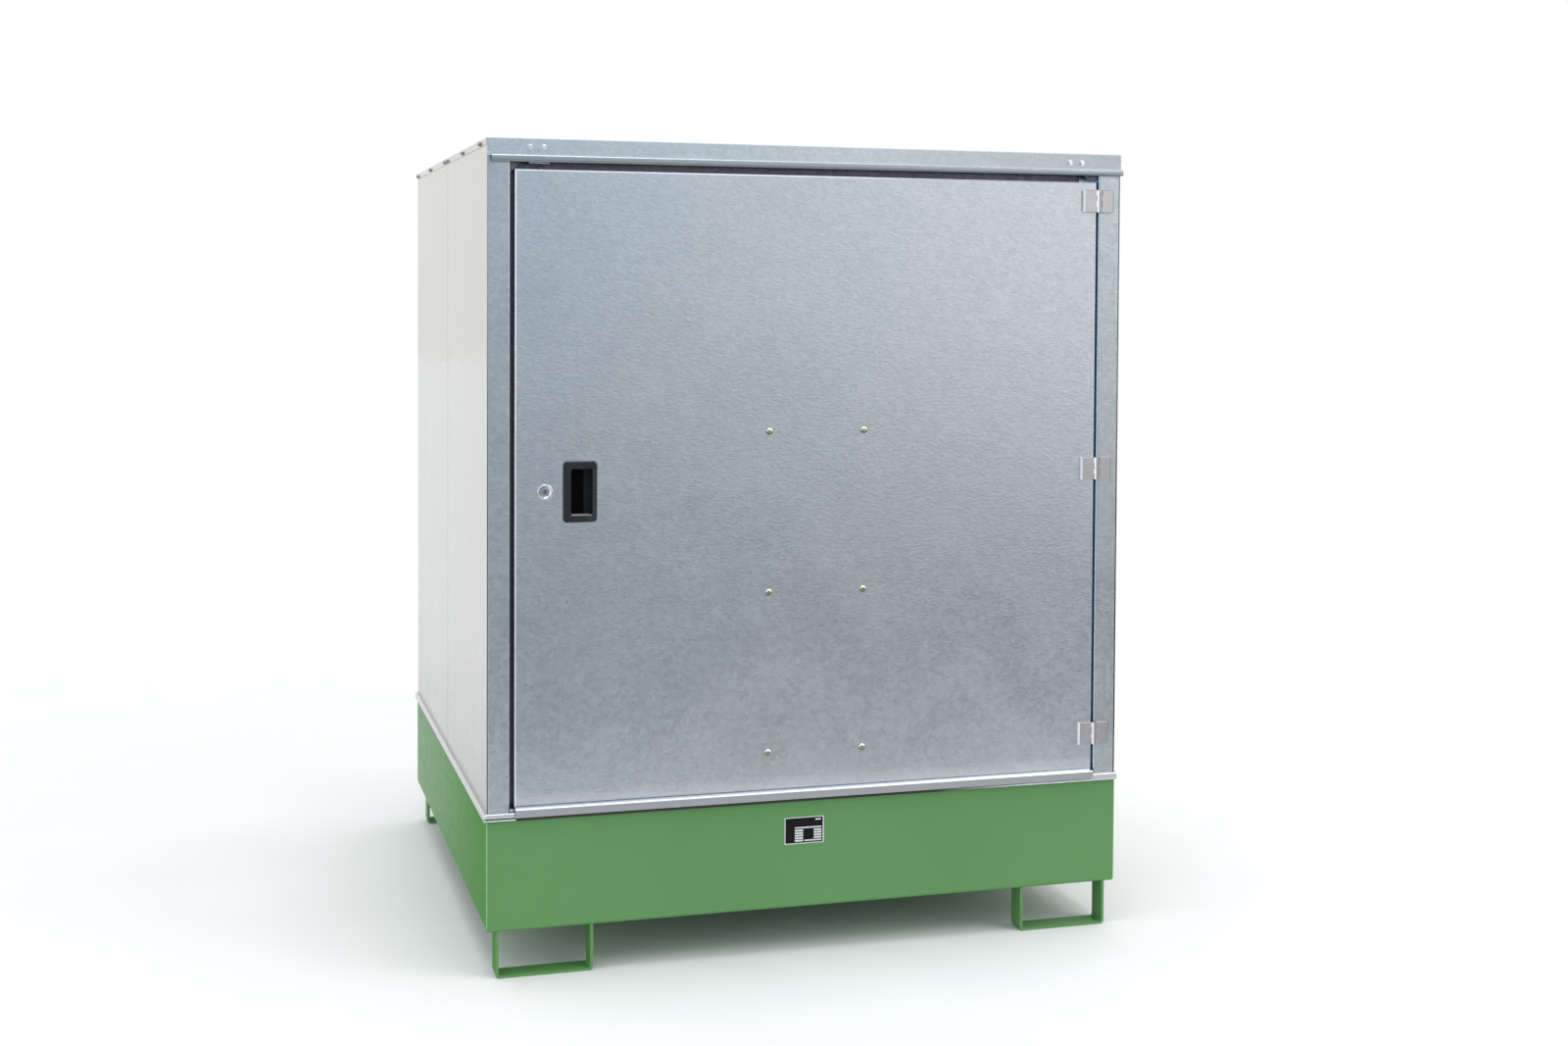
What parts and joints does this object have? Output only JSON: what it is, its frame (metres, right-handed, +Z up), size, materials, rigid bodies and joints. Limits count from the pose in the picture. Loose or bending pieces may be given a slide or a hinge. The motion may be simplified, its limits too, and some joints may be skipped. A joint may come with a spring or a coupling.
{
  "type": "drum storage depot",
  "caption": "Lockable galvanised cabinet with a hinged door and removable gratings, standing on a green steel spill-containment sump tray with forklift feet.",
  "frame": {"origin": "centre of the footprint, on the floor", "axes": "+Z up, door and lock face -Y, hinges towards +X"},
  "size_m": [1.454, 1.361, 1.765],
  "materials": {
    "green_steel": "semi-gloss green powder coat on steel",
    "galvanised_frame": "hot-dip galvanised sheet, fine spangle, satin",
    "galvanised_door": "hot-dip galvanised sheet, fine spangle, satin",
    "galvanised_wall": "smooth bright galvanised sheet, glossy",
    "galvanised_grating": "hot-dip galvanised grating, matt",
    "zinc_fasteners": "bright zinc plated",
    "zinc_rods": "zinc plated bar",
    "dome_bolts": "yellow-passivated zinc",
    "hinge_metal": "satin die-cast zinc",
    "lock_chrome": "polished chrome",
    "black_plastic": "fine-grained glass-filled nylon",
    "guide_plastic": "plain moulded nylon",
    "seal_rubber": "matt extruded rubber",
    "type_plate": "black printed aluminium plate, fields left blank"
  },
  "bodies": {
    "housing": {"sump_tray": "green_steel", "foot_front_left": "green_steel", "foot_front_right": "green_steel", "foot_rear_left": "green_steel", "foot_rear_right": "green_steel", "grating_ledge_left": "green_steel", "grating_ledge_right": "green_steel", "centre_bearer": "green_steel", "base_frame": "galvanised_frame", "post_left": "galvanised_frame", "post_right": "galvanised_frame", "head_rail": "galvanised_frame", "corner_gussets": "galvanised_frame", "roof_fascia": "galvanised_frame", "fascia_screws": "zinc_fasteners", "roof_panel": "galvanised_wall", "roof_beam": "galvanised_frame", "roof_screws": "zinc_fasteners", "wall_left_front": "galvanised_wall", "wall_left_rear": "galvanised_wall", "wall_right_front": "galvanised_wall", "wall_right_rear": "galvanised_wall", "rear_wall_left": "galvanised_wall", "rear_wall_right": "galvanised_wall", "seam_bolts": "zinc_fasteners", "seam_nuts": "zinc_fasteners", "door_sill": "galvanised_frame", "sill_spacers": "galvanised_frame", "strike_upper": "galvanised_frame", "strike_lower": "galvanised_frame", "door_seal": "seal_rubber", "type_plate": "type_plate", "hinge_top_post_leaf": "hinge_metal", "hinge_middle_post_leaf": "hinge_metal", "hinge_bottom_post_leaf": "hinge_metal", "hinge_pins": "hinge_metal", "hinge_post_nuts": "zinc_fasteners"},
    "door": {"door_skin": "galvanised_door", "door_drip_rail": "galvanised_frame", "door_stiffener": "galvanised_frame", "stiffener_bolts": "dome_bolts", "stiffener_nuts": "zinc_fasteners", "handle_cup": "black_plastic", "handle_retainer": "black_plastic", "lock_housing": "lock_chrome", "lock_nut": "zinc_fasteners", "rod_guides": "guide_plastic", "hinge_top_door_leaf": "hinge_metal", "hinge_middle_door_leaf": "hinge_metal", "hinge_bottom_door_leaf": "hinge_metal", "hinge_door_nuts": "zinc_fasteners"},
    "lock_spindle": {"lock_plug": "lock_chrome", "lock_cam": "zinc_fasteners", "cam_screw": "zinc_fasteners"},
    "rod_upper": {"rod_upper": "zinc_rods"},
    "rod_lower": {"rod_lower": "zinc_rods"},
    "grating_left": {"grating_left": "galvanised_grating"},
    "grating_right": {"grating_right": "galvanised_grating"}
  },
  "joints": [
    {"name": "door_swing", "type": "hinge", "parent": "housing", "child": "door", "pos_m": [0.6655, -0.6765, 1.052], "axis": [0, 0, 1], "range_deg": [0, 110]},
    {"name": "lock_turn", "type": "hinge", "parent": "door", "child": "lock_spindle", "pos_m": [-0.598, -0.67, 1.0255], "axis": [0, 1, 0], "range_deg": [0, 90]},
    {"name": "rod_upper_slide", "type": "slide", "parent": "door", "child": "rod_upper", "axis": [0, 0, 1], "range_m": [0, 0.01697]},
    {"name": "rod_lower_slide", "type": "slide", "parent": "door", "child": "rod_lower", "axis": [0, 0, -1], "range_m": [0, 0.017]},
    {"name": "grating_left_lift", "type": "slide", "parent": "housing", "child": "grating_left", "axis": [0, 0, 1], "range_m": [0, 0.25]},
    {"name": "grating_right_lift", "type": "slide", "parent": "housing", "child": "grating_right", "axis": [0, 0, 1], "range_m": [0, 0.25]}
  ],
  "couplings": [
    {"joint": "lock_turn", "follows": "rod_upper_slide", "rad_per_m": 92.56},
    {"joint": "rod_lower_slide", "follows": "rod_upper_slide", "ratio": 1}
  ]
}
